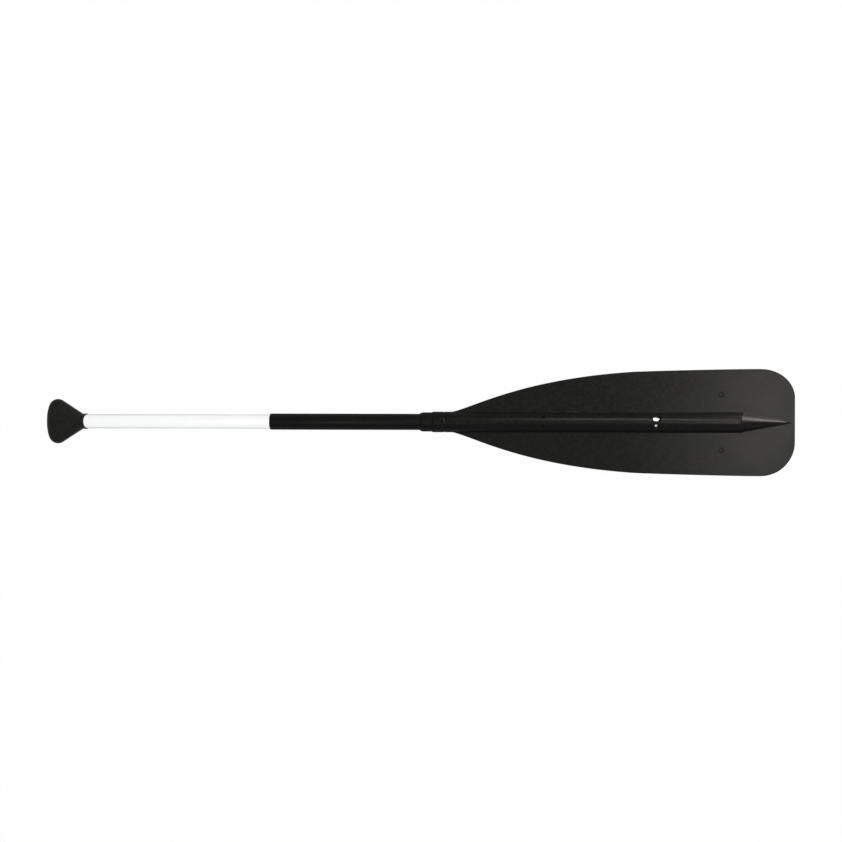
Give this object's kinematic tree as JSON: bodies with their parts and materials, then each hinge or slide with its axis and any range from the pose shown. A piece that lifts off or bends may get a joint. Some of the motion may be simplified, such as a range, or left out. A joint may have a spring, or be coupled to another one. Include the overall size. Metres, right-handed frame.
{
  "type": "boat paddle",
  "caption": "Boat paddle with a fan-shaped palm grip, a straight aluminium shaft with a soft hand sleeve, and a black plastic blade with a round spine on both faces.",
  "frame": {"origin": "on the resting surface, under the centre of the paddle's overall length, on the shaft's centre line seen from above", "axes": "+X along the shaft from the grip to the blade's tip, +Y across the blade, +Z out of the blade's front face"},
  "size_m": [1.5239, 0.2188, 0.0419],
  "materials": {
    "blade_plastic": "fine satin moulded surface, black",
    "grip_plastic": "fine matt moulded surface, black",
    "sleeve_vinyl": "smooth soft vinyl, black",
    "tube_aluminium": "satin, clear anodised, drawn lengthwise",
    "rivet_aluminium": "plain",
    "cap_plastic": "plain moulded, grey",
    "white_foam": "closed-cell foam, white"
  },
  "bodies": {
    "root": {"palm_grip": "grip_plastic", "grip_rivet": "rivet_aluminium", "shaft_tube": "tube_aluminium", "upper_foam_plug": "white_foam", "lower_foam_plug": "white_foam", "shaft_end_cap": "cap_plastic", "hand_sleeve": "sleeve_vinyl", "throat_ferrule": "blade_plastic", "paddle_blade": "blade_plastic"}
  },
  "joints": []
}
